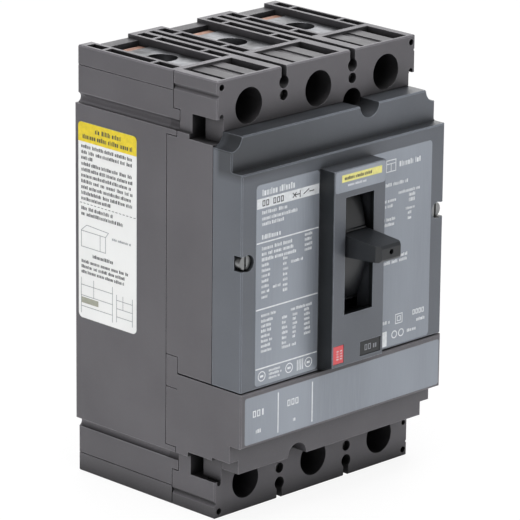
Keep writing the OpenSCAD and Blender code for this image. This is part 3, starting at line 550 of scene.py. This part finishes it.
def side_sheet(p):
    p.ink = "yellow"
    radius = 1.6
    corner = [(radius - radius * math.cos(a), radius - radius * math.sin(a))
        for a in (math.radians(k * 15) for k in range(7))]
    p.prism([(0, 7.3), (p.width, 7.3)] + [(p.width - u, v) for u, v in corner] + corner[::-1])
    p.ink = "dark"
    p.film = 0.06
    p.words(9.0, 24.0, 2.5, 1.7)
    p.words(2.4, 28.6, 5.2, 1.7)
    p.film = 0.04
    p.block(1.6, 28.9, 9.0, 11.2, 2, 1.3, 0.05)
    p.words(1.6, 8.0, 13.3, 1.3)
    p.block(1.6, 29.0, 15.6, 26.6, 6, 1.3, 0.04)
    p.words(1.6, 18.0, 28.7, 1.3)
    for i in range(16):
        p.bar(0.8 + i * 1.9, 30.4, 1.9 + i * 1.9, 30.6)
    p.words(1.6, 18.4, 32.4, 1.3)
    p.words(1.6, 23.6, 34.5, 1.3)
    p.ink = "grey"
    open_box(p, 1.4, 38.6, 14.6, 47.2)
    p.words(18.0, 28.0, 41.0, 0.9)
    p.ink = "dark"
    p.words(7.6, 18.6, 49.8, 1.3)
    p.block(1.6, 28.8, 52.6, 56.6, 3, 1.2, 0.2)
    p.ink = "grey"
    wiring(p, 1.4, 59.0, 18.2, 72.6)
    wiring(p, 20.4, 61.5, 28.8, 72.0)
    p.ink = "olive"
    p.bar(1.6, 66.4, 10.6, 68.6)


def open_box(p, u0, v0, u1, v1):
    """A small line drawing of a box with its lid raised."""
    p.frame(u0, v0 + 2.4, u1, v1, 0.2)
    p.line(u0, v0 + 2.4, u0 + 3, v0, 0.2)
    p.line(u0 + 3, v0, u1 + 1.5, v0 + 0.6, 0.2)
    p.line(u1, v0 + 2.4, u1 + 1.5, v0 + 0.6, 0.2)
    p.line(u1 - 3.0, v0 + 2.4, u1 - 3.0, v1, 0.2)


def wiring(p, u0, v0, u1, v1):
    """A small line drawing of bars between two rails."""
    p.line(u0, v0, u0, v1, 0.2)
    p.line(u1, v0, u1, v1, 0.2)
    for share in (0.2, 0.5, 0.8):
        v = v0 + (v1 - v0) * share
        p.line(u0, v, u1, v, 0.2)
    p.line(u0 + (u1 - u0) * 0.4, v0, u0 + (u1 - u0) * 0.4, v0 + (v1 - v0) * 0.5, 0.2)


def button_marks(p):
    for u in (1.7, 3.5):
        p.block(u, u + 1.1, 2.0, 5.0, 4, 0.5, 0.1)


def prints():
    """Every printed face, with the CAD node that it lies on."""
    inks = {
        "white": (ink("white_ink", "#e6e9ec"), "white_label"),
        "dark": (ink("dark_ink", "#3a3b3e"), "dark_plastic"),
        "grey": (ink("grey_ink", "#8d9096"), "grey_plate"),
        "yellow": (ink("yellow_ink", "#f2d92c"), "white_label"),
        "pale_yellow": (ink("pale_yellow_ink", "#f0e98e"), "white_label"),
        "olive": (ink("olive_ink", "#a7a899"), "grey_plate"),
    }
    faces = (
        ("left_nameplate", "front", left_plate, "case"),
        ("right_nameplate", "front", right_plate, "case"),
        ("badge_plate", "front", badge, "case"),
        ("rating_insert", "front", rating_window, "case"),
        ("trip_unit_label", "front", trip_plate, "case"),
        ("side_label", "left", side_sheet, "case"),
        ("trip_button", "front", button_marks, "trip_button"),
    )
    for node, facing, draw, body in faces:
        sheet = Print(node, facing)
        draw(sheet)
        sheet.finish(node, body, inks)


prints()


# ---------- button spring ----------


def button_spring():
    """The wound spring behind the trip button, as it stands at rest."""
    low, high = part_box("trip_button_spring")
    wire = 0.25 * MM
    radius = (high.x - low.x) / 2 - wire
    turns, steps, sides = 4, 36, 12
    back, run = high.y - wire, high.y - low.y - 2 * wire
    mesh = bmesh.new()
    rings = []
    for i in range(turns * steps + 1):
        turn = 2 * math.pi * i / steps
        outward = Vector((math.cos(turn), 0, math.sin(turn)))
        centre = Vector(((low.x + high.x) / 2, back - run * i / (turns * steps), (low.z + high.z) / 2))
        ring = [centre + outward * (radius + wire * math.cos(a)) + Vector((0, wire * math.sin(a), 0))
            for a in (2 * math.pi * k / sides for k in range(sides))]
        rings.append([mesh.verts.new(point) for point in ring])
    for one, two in zip(rings, rings[1:]):
        for k in range(sides):
            n = (k + 1) % sides
            mesh.faces.new((one[k], one[n], two[n], two[k])).smooth = True
    mesh.faces.new(rings[0][::-1])
    mesh.faces.new(rings[-1])
    bmesh.ops.recalc_face_normals(mesh, faces=mesh.faces)
    data = bpy.data.meshes.new("button_spring")
    mesh.to_mesh(data)
    mesh.free()
    data.materials.append(looks["zinc_steel"])
    spring = bpy.data.objects.new("button_spring", data)
    bpy.context.scene.collection.objects.link(spring)
    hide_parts("trip_button_spring")
    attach(spring, "case")
    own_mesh(spring)


button_spring()


# ---------- room, light and camera ----------


def stage_floor():
    """A near-white floor with a soft shadow.

    It is seen from above only and is open under the part, so that the underside can be looked at too."""
    mesh = bpy.data.meshes.new("floor")
    half = 6.0
    foot = 50.3 * MM
    front, back = -71.8 * MM, -0.2 * MM
    rings = [(-half, -half), (half, -half), (half, half), (-half, half),
        (-foot, front), (foot, front), (foot, back), (-foot, back)]
    sides = [(i, (i + 1) % 4, 4 + (i + 1) % 4, 4 + i) for i in range(4)]
    mesh.from_pydata([(x, y, cad_box[0].z) for x, y in rings], [], sides)
    floor = bpy.data.objects.new("floor", mesh)
    bpy.context.scene.collection.objects.link(floor)
    p = Paint("floor_look")
    cloud = p.ramp(p.noise(3, 3), 0.3, 0.7)
    p.set(base_color=p.mix(cloud, linear("#f1f1f2"), linear("#f6f6f6")), roughness=0.6)
    glow = p.add("Emission", {"Color": (1, 1, 1, 1), "Strength": 1.02})
    seen = p.calc("MULTIPLY", p.add("LightPath").outputs["Is Camera Ray"], 0.88)
    paper_white = p.add("MixShader", {0: seen, 1: p.surface.outputs["BSDF"], 2: glow.outputs[0]})
    clear = p.add("BsdfTransparent")
    below = p.add("NewGeometry").outputs["Backfacing"]
    shown = p.add("MixShader", {0: below, 1: paper_white.outputs[0], 2: clear.outputs["BSDF"]})
    out = p.tree.nodes["Material Output"]
    p.tree.links.new(shown.outputs[0], out.inputs["Surface"])
    mesh.materials.append(p.material)


def area_light(name, place, size, power):
    """A rectangular soft box aimed at the middle of the object."""
    target = Vector((0, -0.045, 0))
    data = bpy.data.lights.new(name, "AREA")
    data.shape = "RECTANGLE"
    data.size, data.size_y = size
    data.energy = power
    lamp = bpy.data.objects.new(name, data)
    bpy.context.scene.collection.objects.link(lamp)
    lamp.visible_camera = False
    lamp.location = place
    lamp.rotation_mode = "QUATERNION"
    lamp.rotation_quaternion = (Vector(place) - target).to_track_quat("Z", "Y")


def studio():
    """Soft boxes above, left, front right and behind, and a pale backdrop that lights only a little."""
    area_light("overhead", (-0.1, -0.15, 1.1), (0.8, 0.8), 13)
    area_light("left_box", (-1.1, -0.35, 0.25), (0.8, 1.1), 3.8)
    area_light("front_box", (0.6, -1.15, 0.4), (0.8, 1.0), 2.9)
    area_light("back_box", (0.8, 0.75, 0.5), (0.9, 0.6), 4)
    world = bpy.data.worlds.new("backdrop")
    bpy.context.scene.world = world
    world.use_nodes = True
    tree = world.node_tree
    shade = tree.nodes["Background"]
    ray = tree.nodes.new("ShaderNodeLightPath")
    strength = tree.nodes.new("ShaderNodeMapRange")
    strength.inputs["To Min"].default_value = 0.24
    strength.inputs["To Max"].default_value = 1.0
    tree.links.new(ray.outputs["Is Camera Ray"], strength.inputs["Value"])
    tree.links.new(strength.outputs["Result"], shade.inputs["Strength"])
    shade.inputs["Color"].default_value = (1, 1, 1, 1)
    bpy.context.scene.view_settings.view_transform = "Standard"


def camera():
    """A long lens that looks down a little on the left front corner."""
    azimuth, elevation, roll = math.radians(-44.94), math.radians(17.11), math.radians(0.59)
    level = math.cos(elevation)
    back = Vector((math.sin(azimuth) * level, -math.cos(azimuth) * level, math.sin(elevation)))
    right = (-back).cross(Vector((0, 0, 1))).normalized()
    up = right.cross(-back)
    data = bpy.data.cameras.new("camera")
    data.sensor_width = 36
    data.lens = 284.4
    view = bpy.data.objects.new("camera", data)
    bpy.context.scene.collection.objects.link(view)
    across = right * math.cos(roll) + up * math.sin(roll)
    above = up * math.cos(roll) - right * math.sin(roll)
    turn = Matrix((across, above, back)).transposed()
    middle, distance = Vector((0, -40 * MM, 0)), 1.513
    place = middle + back * distance + right * 2.35 * MM - up * 1.28 * MM
    view.matrix_world = Matrix.Translation(place) @ turn.to_4x4()
    data.clip_start, data.clip_end = 0.1, 100
    bpy.context.scene.camera = view


stage_floor()
studio()
camera()
